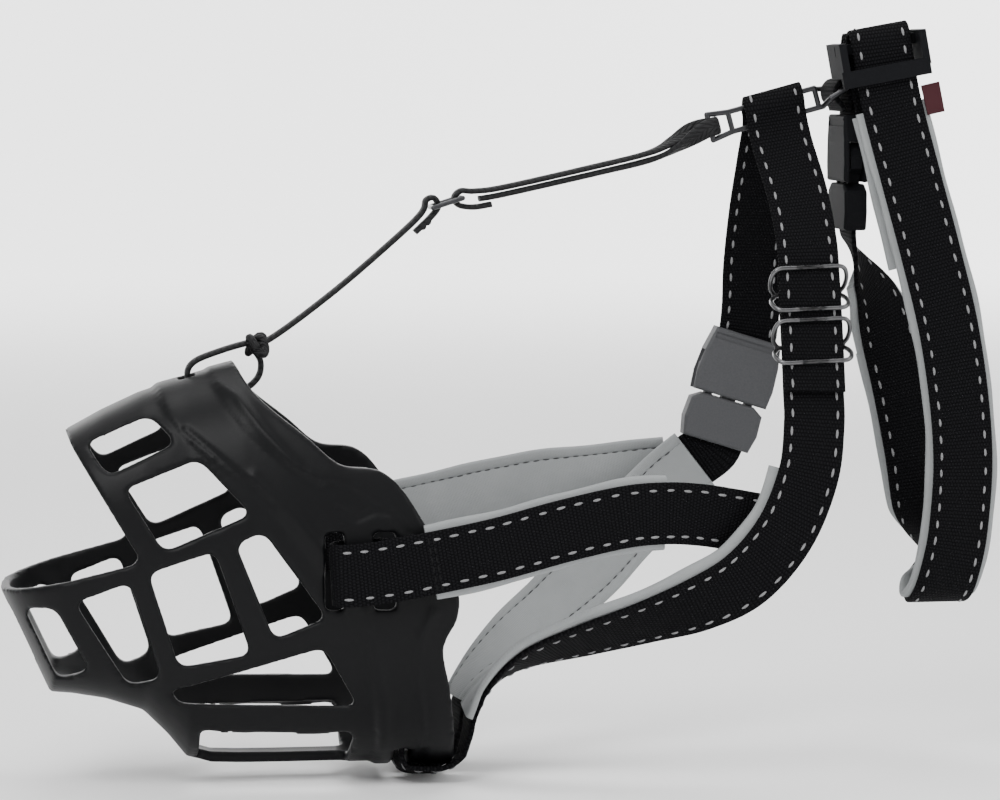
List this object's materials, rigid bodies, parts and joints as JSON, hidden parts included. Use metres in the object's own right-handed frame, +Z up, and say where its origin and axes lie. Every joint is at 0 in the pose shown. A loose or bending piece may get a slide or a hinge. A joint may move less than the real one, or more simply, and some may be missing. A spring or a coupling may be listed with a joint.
{
  "type": "basket muzzle",
  "caption": "Moulded flexible basket muzzle with padded cheek and throat straps, forehead cord, buckled neck strap and a linked padded safety collar.",
  "frame": {"origin": "centre of the opening at the back of the basket, where the snout goes in", "axes": "+X from the nose to the neck, +Y to the far cheek, +Z up to the forehead"},
  "size_m": [0.328, 0.1002, 0.2468],
  "materials": {
    "silicone": "satin moulded",
    "webbing": "woven nylon with grey reflective stitching",
    "lining": "soft knitted foam lining",
    "cord": "flat braid",
    "wire": "black satin",
    "plastic": "fine grain",
    "tag": "woven"
  },
  "bodies": {
    "root": {"neck_webbing": "webbing", "throat_webbing_near": "webbing", "throat_webbing_far": "webbing", "throat_plug_webbing": "webbing", "cheek_webbing_near": "webbing", "cheek_webbing_far": "webbing", "throat_lining_near": "lining", "throat_lining_far": "lining", "throat_plug_lining": "lining", "cheek_lining_near": "lining", "cheek_lining_far": "lining", "basket": "silicone", "forehead_cord_front": "cord", "forehead_cord_rear": "cord", "forehead_slider": "wire", "neck_link": "wire", "main_buckle_socket": "plastic"},
    "neck_slide_upper": {"neck_adjuster_upper": "wire"},
    "neck_slide_lower": {"neck_adjuster_lower": "wire"},
    "main_plug": {"main_buckle_plug": "plastic"},
    "collar": {"collar_webbing": "webbing", "collar_lining": "lining", "collar_tail_lining": "lining", "collar_ring_webbing": "webbing", "collar_slider": "plastic", "collar_tag": "tag", "collar_buckle_socket": "plastic", "collar_plug_webbing": "webbing", "collar_plug_lining": "lining"},
    "collar_plug": {"collar_buckle_plug": "plastic"}
  },
  "joints": [
    {"name": "collar_swing", "type": "hinge", "parent": "root", "child": "collar", "pos_m": [0.164, 0.008, 0.1536], "axis": [0, 1, 0], "range_deg": [-35, 4]},
    {"name": "neck_adjuster_upper_slide", "type": "slide", "parent": "root", "child": "neck_slide_upper", "axis": [0, 0.331, 0.9436], "range_m": [0, 0.006]},
    {"name": "neck_adjuster_lower_slide", "type": "slide", "parent": "root", "child": "neck_slide_lower", "axis": [0, -0.331, -0.9436], "range_m": [0, 0.006]},
    {"name": "main_buckle_release", "type": "slide", "parent": "root", "child": "main_plug", "axis": [-0.3, 0, -0.9539], "range_m": [0, 0.02], "deforming": ["throat_plug_webbing", "throat_plug_lining"]},
    {"name": "collar_buckle_release", "type": "slide", "parent": "collar", "child": "collar_plug", "axis": [0, 0, -1], "range_m": [0, 0.02], "deforming": ["collar_plug_webbing", "collar_plug_lining"]}
  ]
}
